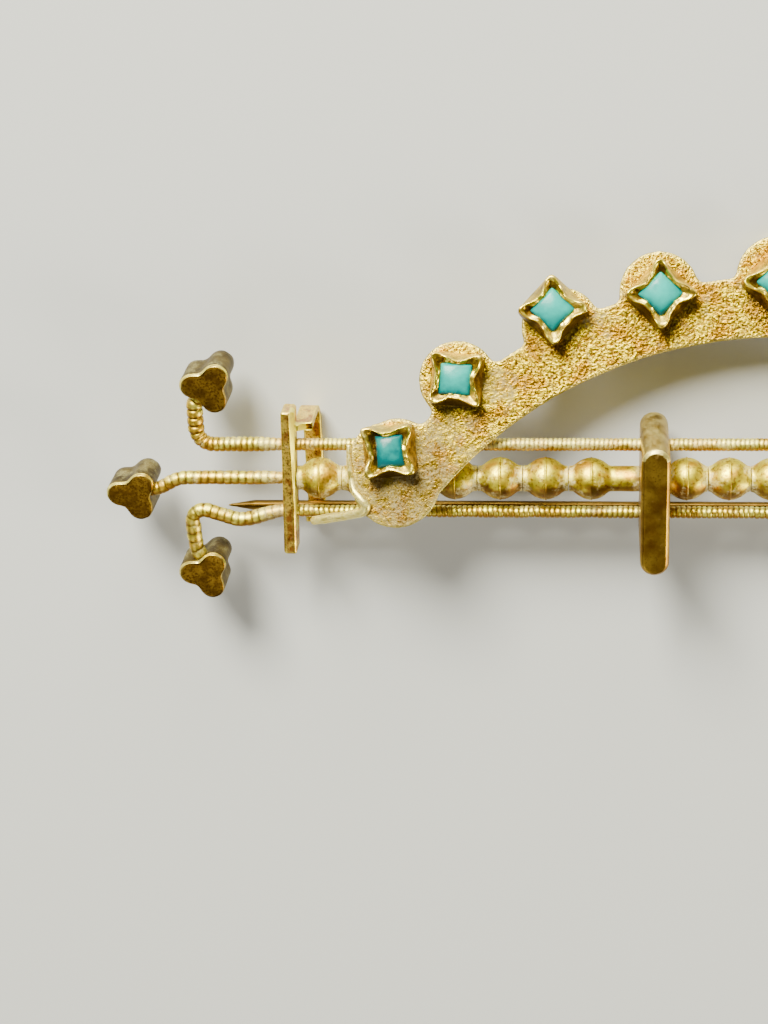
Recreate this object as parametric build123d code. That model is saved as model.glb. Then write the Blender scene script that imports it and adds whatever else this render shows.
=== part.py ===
from build123d import *
from math import asin, atan, cos, hypot, radians, sin, tan
import os

# Bar pin: three wires with trefoil ends, threaded beads, and an arch set with nine stones.
# Lengths are in millimetres. The pin lies on its back: X runs along the bar, Y towards the arch,
# and Z up, from the back of the pin to its face. While it is built, the bar's axis is at Y = Z = 0.

# Bar: end plates and cross bands
plate_x = 23.1            # from the middle of the bar to the middle of an end plate
plate_width = 0.66        # along the bar
plate_lean = 2.0          # degrees, the upper ends lean towards the middle
plate_length = 7.55       # across the bar
plate_shift = -0.06       # the plates sit this far below the axis
plate_front = 0.75        # face of the end plates above the axis
plate_back = 0.55         # and their back below it
band_x = 5.55             # from the middle of the bar to the middle of a cross band
band_width = 1.38
band_length = 6.5
band_shift = -0.5
band_front = 3.0
band_back = 1.8
band_bevel = 0.16
plate_bevel = 0.1

# Wires
wire_radius = 0.31        # upper and lower wire, over the ribs
core_radius = 0.28        # middle wire
wire_offset = 1.77        # upper and lower wire, from the axis
bore_gap = 0.04           # between a wire and the hole that it passes through

# Trefoil knobs
lobe_radius = 0.6
lobe_offset = 0.77        # from the middle of a trefoil to the middle of a lobe
web_radius = 0.72         # disc that joins the three lobes
web_round = 0.25
trefoil_turn = 173        # degrees, direction of the first lobe of a left-hand trefoil
trefoil_front = 0.6
trefoil_back = 1.4
trefoil_bevel = 0.1

# Ends of the wires: how far each reaches beyond the end plate's middle, and how far its trefoil's
# middle lies from the wire's own straight line, upwards for the upper wire, downwards for the others
upper_reach = 4.45
upper_rise = 3.13
lower_reach = 5.05
lower_rise = 3.28
core_reach = 7.75
core_rise = 0.75
# Bends of the left-hand ends, from the middle of the trefoil inwards. "out" and "round", the radius
# of the bend, are shares of the reach, and "away" is a share of the rise.
upper_bends = [
    {"out": 0.82, "away": 1, "round": 0},
    {"out": 1, "away": 0.67, "round": 0.11},
    {"out": 1, "away": 0, "round": 0.18},
]
lower_bends = [
    {"out": 0.89, "away": 1, "round": 0},
    {"out": 0.98, "away": 0.61, "round": 0.12},
    {"out": 1, "away": -0.08, "round": 0.12},
    {"out": 0.5, "away": 0.17, "round": 0.32},
    {"out": 0.14, "away": 0, "round": 0.28},
]
core_bends = [
    {"out": 1, "away": 1, "round": 0},
    {"out": 0.845, "away": 0.77, "round": 0.155},
    {"out": 0.71, "away": 0, "round": 0.26},
]

# Beads
bead_radius = 1.04
collar_radius = 0.68
bead_gap = 0.03           # between two neighbours on the core wire
side_beads = 7            # between a cross band and an end plate
middle_beads = 5          # between the two cross bands
band_collar = 1.25        # plain collar between a cross band and its outer neighbour
plate_collar = 0.08       # between an end plate and its neighbour
inner_seat = 0.85         # from a cross band's inner face to the next bead's middle

# Arch
arch_seat = 0.06          # between the beads and the back of the arch
arch_rise = 6.62          # along the plate, from where it touches the beads to the inner edge's top
arch_width = 2.9
arch_thickness = 0.5
foot_radius = 2.15
foot_x = 17.8             # from the middle of the bar to the middle of a foot
foot_y = -0.2             # middle of a foot, along the plate from where it touches the beads
foot_centre = 1.95        # from the inner edge's circle to the middle of a foot
cheek_radius = 1.62       # round cheek of the plate beside each foot's collet
cheek_out = 0.6           # middle of the cheek from the middle of the foot, outwards
cheek_up = 1.3            # and upwards along the plate
lobe_disc_radius = 1.88   # round lobe of the plate behind each collet
notch_round = 0.35

# Collets and stones
collet_base = 2.52
collet_rim = 2.38
collet_height = 1.2
pocket_side = 1.64
pocket_depth = 0.86
stone_gap = 0.04
stone_dome = 1.7          # radius of the dome
stone_rise = 0.1          # top of the dome above the rim
# Collets from the middle of the arch to its left foot. "along" is a share of the way to the foot,
# "out" from the inner edge's circle to the collet's middle, "lobe" from the same circle to the middle
# of the plate's lobe behind it, both as shares of the arch's width, and "turn" in degrees.
collet_rows = [
    {"along": 0, "out": 0.89, "lobe": 1, "turn": 45},
    {"along": 0.255, "out": 0.93, "lobe": 0.99, "turn": 46},
    {"along": 0.483, "out": 1.27, "lobe": 0.98, "turn": 47},
    {"along": 0.736, "out": 1.155, "lobe": 1.14, "turn": -4},
    {"along": 0.95, "out": 1.085, "lobe": 0.92, "turn": 5},
]

# Hooks at the arch's feet
hook_radius = 0.17
hook_turn = 0.5
hook_root = 1.45          # where the hook leaves the foot, below the foot's middle
hook_reach = 2.15         # along the bar, from the edge of the foot
hook_rise = 0.5           # of the hook's free end above the lower wire's axis

# Back of the pin
back_depth = 3.1          # from the bar's axis down to the surface that the pin lies on
strip_width = 0.92        # of the catch and the knuckle's strip, along the bar
strip_thickness = 0.34
strip_top = 2.75          # upper end of the strips, from the axis
strip_turn = 0.9
hook_end = 1.1            # height of the catch's curled end
stem_radius = 0.27
stem_offset = 2.6         # the pin stem lies this far below the axis
stem_tip = 26.8           # from the middle of the bar to the point
stem_taper = 1.4
stem_gap = 0.06           # between the stem and what holds it
knuckle_length = 2.2
knuckle_wall = 0.4        # between the stem's blunt end and the end plate


def mirrored(shape):
    return mirror(shape, Plane.YZ)


def trefoil(x, y):
    """Three-lobed knob with a flat face, as a left-hand knob."""
    outline = Circle(web_radius)
    for step in range(3):
        turn = radians(trefoil_turn + 120 * step)
        outline += Pos(lobe_offset * cos(turn), lobe_offset * sin(turn)) * Circle(lobe_radius)
    knob = extrude(outline, trefoil_front + trefoil_back)
    knob = fillet(knob.edges().filter_by(Axis.Z), web_round)
    knob = chamfer(knob.faces().sort_by(Axis.Z)[-1].edges(), trefoil_bevel)
    return Pos(x, y, -trefoil_back) * knob


def wire(radius, line, side, reach, rise, bends):
    """One wire at its height on the bar, with a trefoil on each end; side is the way it bends."""
    left = [(-plate_x - reach * row["out"], line + side * rise * row["away"]) for row in bends]
    rounds = [reach * row["round"] for row in bends[1:]]
    right = [(-x, y) for x, y in reversed(left)]
    path = FilletPolyline(*[(x, y, 0) for x, y in left + right], radius=rounds + rounds[::-1])
    section = Plane(origin=path @ 0, z_dir=path % 0) * Circle(radius)
    knob = trefoil(*left[0])
    return sweep(section, path) + knob + mirrored(knob)


def wire_bores(depth, x):
    """The three holes that the wires pass through."""
    bores = [Pos(x, 0, 0) * Rot(0, 90, 0) * Cylinder(core_radius + bore_gap, depth)]
    for y in (-wire_offset, wire_offset):
        bores.append(Pos(x, y, 0) * Rot(0, 90, 0) * Cylinder(wire_radius + bore_gap, depth))
    return bores


def end_plate():
    """The left end plate, without what is soldered to it."""
    height = plate_front + plate_back
    middle = (plate_front - plate_back) / 2
    plate = chamfer(Box(plate_width, plate_length, height).edges(), plate_bevel)
    return Pos(-plate_x, plate_shift, middle) * Rot(0, 0, -plate_lean) * plate


def strip(points, turns):
    """A flat strip bent in a plane across the bar, beside the left end plate."""
    path = FilletPolyline(*[(0, y, z) for y, z in points], radius=turns)
    section = Plane(origin=path @ 0, x_dir=(1, 0, 0), z_dir=path % 0)
    bent = sweep(section * Rectangle(strip_width, strip_thickness), path)
    inner_face = plate_x - plate_width / 2
    return Pos(-inner_face + strip_width / 2, 0, 0) * bent


def back_line():
    """Middle of the strips where they lie along the pin's back."""
    return -back_depth + strip_thickness / 2


def catch():
    """C-shaped catch that hooks round the pin stem."""
    hook_y = -stem_offset - stem_radius - stem_gap - strip_thickness / 2
    return strip(
        [(strip_top, plate_front / 2), (strip_top, back_line()), (hook_y, back_line()),
         (hook_y, back_line() + hook_end)],
        [strip_turn, strip_thickness],
    )


def knuckle():
    """Strip and plain knuckle that hold the other end of the stem, made for the left side."""
    side = 2 * (stem_level() + back_depth)
    reach = -stem_offset - side / 2
    carrier = strip([(strip_top, plate_front / 2), (strip_top, back_line()), (reach, back_line())],
                    [strip_turn])
    outer = plate_x - plate_width / 2
    block = Pos(-outer + knuckle_length / 2, -stem_offset, stem_level()) * Box(knuckle_length, side, side)
    block = fillet(block.edges().filter_by(Axis.X), stem_radius)
    bore = Rot(0, 90, 0) * Cylinder(stem_radius + bore_gap, 2 * knuckle_length)
    bore = Pos(-outer + knuckle_length + knuckle_wall, -stem_offset, stem_level()) * bore
    return carrier + block - bore


def stem_level():
    """Height of the pin stem, which lies on the catch."""
    return -back_depth + strip_thickness + stem_gap + stem_radius


def plate_with(fitting):
    """The left end plate with what is soldered to it, bored for the wires."""
    plate = end_plate() + fitting
    for bore in wire_bores(2 * strip_width + plate_width, -plate_x):
        plate -= bore
    return plate


def cross_band():
    """The left cross band: an upright slab with round ends."""
    outline = Rot(0, 0, 90) * SlotOverall(band_length, band_width)
    band = Pos(-band_x, band_shift, -band_back) * extrude(outline, band_front + band_back)
    band = chamfer(band.faces().sort_by(Axis.Z)[-1].edges(), band_bevel)
    for bore in wire_bores(2 * band_width, -band_x):
        band -= bore
    return band


def bead(centre, low, high):
    """A bead with its collars, which fill its stretch of the core wire from low to high."""
    length = high - low
    collar = Pos((low + high) / 2, 0, 0) * Rot(0, 90, 0) * Cylinder(collar_radius, length)
    stretch = Pos((low + high) / 2, 0, 0) * Rot(0, 90, 0) * Cylinder(2 * bead_radius, length)
    ball = Pos(centre, 0, 0) * Rot(0, 90, 0) * Sphere(bead_radius)
    bore = Pos(centre, 0, 0) * Rot(0, 90, 0) * Cylinder(core_radius + bore_gap, 4 * length)
    return (ball & stretch) + collar - bore


def bead_row():
    """Middles and ends of every bead's stretch, from left to right."""
    plate_face = plate_x - plate_width / 2 - bead_radius * tan(radians(plate_lean))
    outer_face = band_x + band_width / 2
    inner_face = band_x - band_width / 2
    first = plate_face - plate_collar - bead_radius
    last = outer_face + band_collar + bead_radius
    side_pitch = (first - last) / (side_beads - 1)
    side = [-first + side_pitch * count for count in range(side_beads)]
    edge = inner_face - inner_seat
    middle_pitch = 2 * edge / (middle_beads - 1)
    middle = [-edge + middle_pitch * count for count in range(middle_beads)]
    rows = group_row(side, -plate_face, -outer_face)
    rows += group_row(middle, -inner_face, inner_face)
    rows += group_row([-x for x in reversed(side)], outer_face, plate_face)
    return rows


def group_row(middles, low, high):
    """Shares out the core wire from low to high, halfway between neighbours."""
    bounds = [low] + [(a + b) / 2 for a, b in zip(middles, middles[1:])] + [high]
    return [
        (middle, start + bead_gap / 2, end - bead_gap / 2)
        for middle, start, end in zip(middles, bounds, bounds[1:])
    ]


def foot_circle():
    """Radius of the circle through the middles of the feet, foot_centre outside the inner edge."""
    height = arch_rise + foot_centre - foot_y
    return (foot_x ** 2 + height ** 2) / (2 * height)


def arch_inner_radius():
    """Radius of the arch's inner edge."""
    return foot_circle() - foot_centre


def arch_centre():
    """Height of the centre of the arch's circles in the plate's own plane."""
    return arch_rise - arch_inner_radius()


def on_arch(share, out):
    """A point of the plate: a share of the way from the top to the left foot, and out from the edge."""
    turn = share * asin(foot_x / foot_circle())
    reach = arch_inner_radius() + out
    return -reach * sin(turn), arch_centre() + reach * cos(turn)


def arch_top():
    """The arch's highest point along the plate."""
    return arch_rise + arch_width * collet_rows[0]["lobe"] + lobe_disc_radius


def arch_plane():
    """The plate lies on the beads and leans back until its top is level with the pin's back."""
    seat = bead_radius + arch_seat
    lean = asin(back_depth / hypot(arch_top(), seat)) + atan(seat / arch_top())
    face = Vector(0, sin(lean), cos(lean))
    return Plane(origin=face * seat, x_dir=(1, 0, 0), z_dir=face)


def along_arch(column):
    """X, height along the plate and turn of the places in one column, from left to right."""
    left = [(*on_arch(row["along"], arch_width * row[column]), row["turn"]) for row in collet_rows]
    right = [(-x, y, -turn) for x, y, turn in left[1:]]
    return left[::-1] + right


def arch_plate():
    """The curved band, a lobe behind each collet and the two round feet, with rounded notches."""
    outer = arch_inner_radius() + arch_width
    ring = Pos(0, arch_centre()) * (Circle(outer) - Circle(arch_inner_radius()))
    end_x, end_y = on_arch(1, outer)
    fan = Polygon((0, arch_centre()), (end_x, end_y), (0, 2 * outer), (-end_x, end_y), align=None)
    outline = ring & fan
    for x, y, _ in along_arch("lobe"):
        outline += Pos(x, y) * Circle(lobe_disc_radius)
    for side in (-1, 1):
        outline += Pos(side * foot_x, foot_y) * Circle(foot_radius)
        outline += Pos(side * (foot_x + cheek_out), foot_y + cheek_up) * Circle(cheek_radius)
    outline = offset(offset(outline, notch_round), -notch_round)
    return extrude(outline, arch_thickness)


def collet():
    """Square collet with sides that draw in, standing on the plate's face."""
    body = loft([Rectangle(collet_base, collet_base),
                 Pos(0, 0, collet_height) * Rectangle(collet_rim, collet_rim)])
    pocket = Box(pocket_side, pocket_side, 2 * pocket_depth)
    return body - Pos(0, 0, collet_height) * pocket


def stone():
    """Domed square stone that fills the collet's pocket."""
    side = pocket_side - 2 * stone_gap
    height = pocket_depth + stone_rise - stone_gap
    body = Box(side, side, height, align=(Align.CENTER, Align.CENTER, Align.MIN))
    body &= Pos(0, 0, height - stone_dome) * Sphere(stone_dome)
    return Pos(0, 0, collet_height - pocket_depth + stone_gap) * body


def on_plate(x, y):
    """A point halfway through the arch's plate."""
    return arch_plane().from_local_coords(Vector(x, y, arch_thickness / 2))


def foot_hook():
    """Thin wire from the left foot that bends out over the lower wire."""
    start = on_plate(-foot_x - foot_radius / 2, foot_y - hook_root)
    edge = on_plate(-foot_x - foot_radius, foot_y - hook_root)
    end = Vector(edge.X - hook_reach, -wire_offset - wire_radius - hook_radius, hook_rise)
    path = FilletPolyline(start, edge, end, radius=hook_turn)
    section = Plane(origin=path @ 0, z_dir=path % 0) * Circle(hook_radius)
    return sweep(section, path)


def arch():
    plane = arch_plane()
    plate = arch_plate()
    for x, y, turn in along_arch("out"):
        plate += Pos(x, y, arch_thickness) * Rot(0, 0, turn) * collet()
    plate = plane * plate
    hook = foot_hook()
    return plate + hook + mirrored(hook)


def stones():
    plane = arch_plane()
    return [
        plane * (Pos(x, y, arch_thickness) * Rot(0, 0, turn) * stone())
        for x, y, turn in along_arch("out")
    ]


def pin_stem():
    """Straight stem from the knuckle on the right to a point beyond the catch."""
    end = plate_x - plate_width / 2 - knuckle_wall - bore_gap
    start = -stem_tip + stem_taper
    rod = Cylinder(stem_radius, end - start, align=(Align.CENTER, Align.CENTER, Align.MIN))
    rod = Pos(start, 0, 0) * Rot(0, 90, 0) * rod
    point = Cone(stem_radius / 5, stem_radius, stem_taper, align=(Align.CENTER, Align.CENTER, Align.MIN))
    point = Pos(-stem_tip, 0, 0) * Rot(0, 90, 0) * point
    return Pos(0, -stem_offset, stem_level()) * (rod + point)


def build():
    """Every piece by its name, in the bar's own place."""
    pieces = {
        "upper_wire": wire(wire_radius, wire_offset, 1, upper_reach, upper_rise, upper_bends),
        "lower_wire": wire(wire_radius, -wire_offset, -1, lower_reach, lower_rise, lower_bends),
        "core_wire": wire(core_radius, 0, -1, core_reach, core_rise, core_bends),
        "end_plate_left": plate_with(catch()),
        "end_plate_right": mirrored(plate_with(knuckle())),
        "cross_band_left": cross_band(),
        "cross_band_right": mirrored(cross_band()),
        "arch": arch(),
        "pin_stem": pin_stem(),
    }
    for count, row in enumerate(bead_row(), start=1):
        pieces[f"bead_{count:02d}"] = bead(*row)
    for count, gem in enumerate(stones(), start=1):
        pieces[f"stone_{count}"] = gem
    return pieces


pieces = build()
box = Compound([solid for piece in pieces.values() for solid in piece.solids()]).bounding_box()
to_origin = Pos(-box.center().X, -box.center().Y, -box.min.Z)
os.makedirs("parts", exist_ok=True)
for name, piece in pieces.items():
    export_step(to_origin * piece, f"parts/{name}.step")
print("bar axis at Y", -box.center().Y, "Z", -box.min.Z, "size", box.size)
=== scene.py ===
from functools import partial
from math import asin, atan, atan2, copysign, cos, exp, hypot, log, pi, radians, sin, sqrt, tan

import bmesh
import bpy
import numpy as np
from mathutils import Matrix, Vector, noise


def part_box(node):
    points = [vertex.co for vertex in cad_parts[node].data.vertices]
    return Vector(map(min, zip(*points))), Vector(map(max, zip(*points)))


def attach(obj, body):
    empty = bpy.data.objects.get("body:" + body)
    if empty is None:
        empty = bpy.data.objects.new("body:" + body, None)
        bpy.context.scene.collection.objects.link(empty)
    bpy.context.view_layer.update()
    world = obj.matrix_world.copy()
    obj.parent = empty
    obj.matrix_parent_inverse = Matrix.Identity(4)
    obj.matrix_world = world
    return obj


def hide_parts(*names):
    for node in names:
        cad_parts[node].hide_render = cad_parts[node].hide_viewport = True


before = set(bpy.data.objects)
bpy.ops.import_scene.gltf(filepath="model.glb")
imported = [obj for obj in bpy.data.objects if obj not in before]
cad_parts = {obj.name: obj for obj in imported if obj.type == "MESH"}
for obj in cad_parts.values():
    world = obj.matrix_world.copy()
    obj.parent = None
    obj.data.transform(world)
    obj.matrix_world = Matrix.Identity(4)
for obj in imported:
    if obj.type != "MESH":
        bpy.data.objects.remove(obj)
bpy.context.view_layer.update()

# Shapes are built in millimetres from the bar's axis: X along the bar, Y towards the arch, Z up.
mm = 0.001
beadLow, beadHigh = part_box("bead_10")
barAxis = (beadLow + beadHigh) / 2  # the middle bead sits on the axis
toFrame = Matrix.Translation(barAxis) @ Matrix.Scale(mm, 4)
fromFrame = toFrame.inverted()
print("frame loaded, bar axis at", tuple(barAxis))


def clamped(value):
    return min(max(value, 0), 1)


def newObject(name, data):
    made = bpy.data.objects.new(name, data)
    bpy.context.scene.collection.objects.link(made)
    return made


# Camera, floor and lights

view = {
    "place": (-8.321, 39.407, 87.937),  # mm from the bar's axis
    "right": (0.99443997, -0.04041246, -0.09724187),
    "up": (-0.00466655, 0.90561149, -0.4240826),
    "back": (0.10520157, 0.42217847, 0.90038768),
    "lens": 70.3125, "sensor": 36, "nearest": 0.001, "farthest": 20,
    "floorHalf": 0.8, "floorColour": (0.64, 0.68, 0.75, 1), "floorRough": 0.9,
}


def makeCamera():
    data = bpy.data.cameras.new("camera")
    data.sensor_fit = "VERTICAL"
    data.sensor_height = view["sensor"]
    data.lens = view["lens"]
    data.clip_start = view["nearest"]
    data.clip_end = view["farthest"]
    camera = newObject("camera", data)
    turn = Matrix((view["right"], view["up"], view["back"])).transposed().to_4x4()
    camera.matrix_world = Matrix.Translation(toFrame @ Vector(view["place"])) @ turn
    bpy.context.scene.camera = camera


def makeFloor():
    half = view["floorHalf"]
    mesh = bpy.data.meshes.new("floor")
    corners = [(-half, -half, 0), (half, -half, 0), (half, half, 0), (-half, half, 0)]
    mesh.from_pydata(corners, [], [(0, 1, 2, 3)])
    material = bpy.data.materials.new("paleFloor")
    material.use_nodes = True
    shader = material.node_tree.nodes["Principled BSDF"]
    shader.inputs["Base Color"].default_value = view["floorColour"]
    shader.inputs["Roughness"].default_value = view["floorRough"]
    mesh.materials.append(material)
    floor = newObject("floor", mesh)


# where each soft light stands and how wide it is, in metres from the pin, which they all look at
lights = {
    "keyLight": {"at": (-0.12, 0.33, 0.23), "size": 0.17, "power": 5.6, "colour": (1, 0.94, 0.72)},
    "backLight": {"at": (0.02, 0.42, 0.09), "size": 0.2, "power": 1.6, "colour": (1, 0.92, 0.66)},
    "sideLight": {"at": (0.34, -0.18, 0.12), "size": 0.16, "power": 1.8, "colour": (1, 0.90, 0.60)},
    "frontLight": {"at": (-0.16, -0.30, 0.26), "size": 0.24, "power": 0.35, "colour": (1, 0.98, 0.95)},
}
skyColour = (1.0, 0.92, 0.76, 1)
skyStrength = 0.12


def makeLights():
    for name, row in lights.items():
        data = bpy.data.lights.new(name, "AREA")
        data.shape = "DISK"
        data.size = row["size"]
        data.energy = row["power"]
        data.color = row["colour"]
        lamp = newObject(name, data)
        lamp.location = row["at"]
        lamp.rotation_mode = "QUATERNION"
        lamp.rotation_quaternion = Vector(row["at"]).to_track_quat("Z", "Y")
    world = bpy.data.worlds.new("studio")
    world.use_nodes = True
    sky = world.node_tree.nodes["Background"]
    sky.inputs["Color"].default_value = skyColour
    sky.inputs["Strength"].default_value = skyStrength
    bpy.context.scene.world = world


makeCamera()
makeFloor()
makeLights()
print("camera, floor and lights made")


# Small helpers for node trees. A new node goes into the tree that its values come from.

def feed(socket, value):  # a colour is given as three numbers
    if isinstance(value, bpy.types.NodeSocket):
        socket.id_data.links.new(value, socket)
    elif socket.type == "RGBA":
        socket.default_value = (*value, 1)
    else:
        socket.default_value = value


def addNode(tree, kind, inputs=None, **settings):
    made = tree.nodes.new(kind)
    for name, value in settings.items():
        setattr(made, name, value)
    for name, value in (inputs or {}).items():
        feed(made.inputs[name], value)
    return made


def combine(kind, values, **settings):
    sockets = [value for value in values if isinstance(value, bpy.types.NodeSocket)]
    return addNode(sockets[0].id_data, kind, dict(enumerate(values)), **settings)


def maths(operation, *values, clamp=False):
    return combine("ShaderNodeMath", values, operation=operation, use_clamp=clamp).outputs[0]


plus = partial(maths, "ADD")
minus = partial(maths, "SUBTRACT")
times = partial(maths, "MULTIPLY")
timesPlus = partial(maths, "MULTIPLY_ADD")


def vectors(operation, *values):
    made = combine("ShaderNodeVectorMath", values, operation=operation)
    return made.outputs["Value" if operation == "DOT_PRODUCT" else "Vector"]


def softStep(value, start, end):  # 0 below start, 1 above end
    inputs = {"Value": value, "From Min": start, "From Max": end}
    return addNode(value.id_data, "ShaderNodeMapRange", inputs, interpolation_type="SMOOTHSTEP").outputs[0]


def speckle(place, size, seed, detail=2.0, roughness=0.5):
    inputs = {"Vector": place, "W": seed, "Scale": 1 / size, "Detail": detail, "Roughness": roughness}
    return addNode(place.id_data, "ShaderNodeTexNoise", inputs, noise_dimensions="4D").outputs[0]


def blend(share, first, second):
    inputs = {0: share, 6: first, 7: second}
    return addNode(share.id_data, "ShaderNodeMix", inputs, data_type="RGBA").outputs[2]


# Finishes. Sizes are in millimetres.

def newFinish(name):
    material = bpy.data.materials.new(name)
    material.use_nodes = True
    tree = material.node_tree
    shader = tree.nodes["Principled BSDF"]
    place = addNode(tree, "ShaderNodeTexCoord").outputs["Object"]
    place = vectors("MULTIPLY", place, (1 / mm, 1 / mm, 1 / mm))
    return material, tree, shader, place


def fromMesh(tree, name):
    return addNode(tree, "ShaderNodeAttribute", attribute_name=name).outputs["Fac"]


def addBump(shader, height, depth, strength):
    inputs = {"Height": height, "Distance": depth * mm, "Strength": strength}
    feed(shader.inputs["Normal"], addNode(shader.id_data, "ShaderNodeBump", inputs).outputs[0])


# Patches, grain, dust and fine specks are soft-edged noise: its size and where the step starts and ends,
# then the depth of the grain, or the share of the dust and the specks. Worn edges have a colour and its
# share, and so has the painted shade on what faces down. These values are shared by all golds, unless a row
# says otherwise.
everyGold = {
    "shadeSide": (0, -0.75, -0.1), "shadeSize": 0.7, "shadeFrom": 0.42, "shadeSoft": 0.46,
    "dustRise": 0.1,  # more dust on what faces up the picture
    "paleDust": 0.25, "paleFill": 0.6,  # pale places draw dust, and deposits fill their grain
    "fine": (0.08, 0.36, 0.6, 0.85), "dustDull": 0.7, "dustRough": 0.3, "roughSize": 0.5, "metal": 0.97,
}
golds = {
    "bloomedGold": {
        "bright": (0.96, 0.73, 0.012), "dark": (0.6, 0.31, 0.006), "patch": (1.0, 0.38, 0.58),
        "pits": (0.18, 0.09, 0.005), "grain": (0.13, 0.37, 0.62, 0.1), "rough": (0.22, 0.44),
        "metal": 0.98, "dust": (0.32, 0.27, 0.12), "dusty": (0.5, 0.54, 0.82, 0.85),
        "edge": ((1.0, 0.86, 0.22), 0.9), "paintedShade": ((0.14, 0.07, 0.008), 0.8),
    },
    "ribbedGold": {
        "bright": (1.0, 0.92, 0.13), "dark": (0.86, 0.54, 0.04), "patch": (1.1, 0.35, 0.62),
        "pits": (0.42, 0.24, 0.02), "grain": (0.2, 0.3, 0.5, 0.015), "rough": (0.36, 0.52),
        "dust": (0.92, 0.84, 0.42), "dusty": (1.1, 0.56, 0.7, 0.5),
        "edge": ((1.0, 0.84, 0.28), 0.5), "paintedShade": ((0.26, 0.115, 0.012), 0.85), "shadeFrom": 0.25,
        "grooveShade": (0.1, 0.045, 0.003),
    },
    "beadGold": {
        "bright": (1.0, 0.87, 0.04), "dark": (0.76, 0.43, 0.02), "patch": (0.9, 0.32, 0.54),
        "pits": (0.42, 0.24, 0.02), "grain": (0.16, 0.3, 0.52, 0.018), "rough": (0.36, 0.52),
        "metal": 0.98, "dust": (0.82, 0.74, 0.38), "dusty": (0.45, 0.52, 0.68, 0.8), "dustRise": -0.05,
        "edge": ((1.0, 0.88, 0.36), 0.7), "paintedShade": ((0.17, 0.065, 0.015), 0.9), "shadeFrom": 0.2,
    },
    # Trefoil faces: dark as painted shade, with mottled stains.
    "stainedGold": {
        "bright": (0.37, 0.215, 0.022), "dark": (0.15, 0.072, 0.007), "patch": (0.45, 0.3, 0.7),
        "pits": (0.12, 0.055, 0.005), "grain": (0.1, 0.36, 0.56, 0.008), "rough": (0.3, 0.46),
        "dust": (0.4, 0.32, 0.1), "dusty": (1.0, 0.62, 0.75, 0.4),
        "edge": ((1.0, 0.78, 0.2), 1.2), "paintedShade": ((0.08, 0.035, 0.004), 0.5),
    },
    "mottledGold": {
        "bright": (1.0, 0.7, 0.09), "dark": (0.44, 0.17, 0.03), "patch": (0.55, 0.38, 0.55),
        "pits": (0.18, 0.06, 0.008), "grain": (0.1, 0.34, 0.54, 0.014), "rough": (0.28, 0.46),
        "dust": (0.66, 0.56, 0.26), "dusty": (0.6, 0.6, 0.72, 0.5),
        "edge": ((1.0, 0.92, 0.12), 0.8), "paintedShade": ((0.12, 0.05, 0.008), 0.5),
    },
    "colletGold": {
        "bright": (0.7, 0.44, 0.025), "dark": (0.16, 0.08, 0.004), "patch": (0.35, 0.35, 0.65),
        "pits": (0.1, 0.045, 0.005), "grain": (0.12, 0.32, 0.52, 0.03), "rough": (0.3, 0.5),
        "metal": 0.96, "dust": (0.66, 0.5, 0.18), "dusty": (0.5, 0.64, 0.76, 0.25),
        "edge": ((1.0, 0.82, 0.12), 0.6), "paintedShade": ((0.05, 0.02, 0.003), 0.85),
    },
    # Trefoil side walls: dull, and dark as painted shade.
    "dullAndShadedGold": {
        "bright": (0.17, 0.125, 0.03), "dark": (0.06, 0.04, 0.01), "patch": (0.7, 0.35, 0.65),
        "pits": (0.12, 0.08, 0.02), "grain": (0.14, 0.3, 0.5, 0.02), "rough": (0.42, 0.6),
        "metal": 0.9, "dust": (0.32, 0.3, 0.14), "dusty": (0.6, 0.55, 0.7, 0.6),
        "edge": ((1.0, 0.8, 0.22), 0.4), "paintedShade": ((0.1, 0.07, 0.015), 0.8),
    },
    # Band faces: darker as a painted reflection of dark surroundings.
    "shadedBandGold": {
        "bright": (0.52, 0.33, 0.035), "dark": (0.22, 0.1, 0.008), "patch": (0.9, 0.3, 0.68),
        "pits": (0.22, 0.11, 0.01), "grain": (0.1, 0.22, 0.5, 0.008), "rough": (0.28, 0.44),
        "dust": (0.56, 0.5, 0.24), "dusty": (0.8, 0.6, 0.75, 0.4),
        "edge": ((1.0, 0.87, 0.3), 2.4), "paintedShade": ((0.1, 0.045, 0.006), 0.4),
    },
    # Pin stem: dark as painted shade, where it lies behind the wires.
    "shadedStemGold": {
        "bright": (0.16, 0.085, 0.01), "dark": (0.07, 0.032, 0.004), "patch": (1.4, 0.3, 0.65),
        "pits": (0.16, 0.08, 0.01), "grain": (0.2, 0.25, 0.45, 0.004), "rough": (0.24, 0.4),
        "metal": 0.98, "dust": (0.45, 0.36, 0.14), "dusty": (1.5, 0.64, 0.76, 0.1),
        "edge": ((0.5, 0.34, 0.08), 0.5), "paintedShade": ((0.26, 0.13, 0.015), 0.4),
    },
    "burnishedGold": {
        "bright": (1.0, 0.87, 0.08), "dark": (0.84, 0.56, 0.05), "patch": (0.4, 0.34, 0.62),
        "pits": (0.4, 0.21, 0.02), "grain": (0.15, 0.3, 0.48, 0.016), "rough": (0.2, 0.38),
        "metal": 0.98, "dust": (0.92, 0.88, 0.48), "dusty": (0.4, 0.58, 0.72, 0.5),
        "edge": ((1.0, 0.86, 0.2), 0.8), "paintedShade": ((0.34, 0.19, 0.02), 0.6),
    },
}


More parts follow.
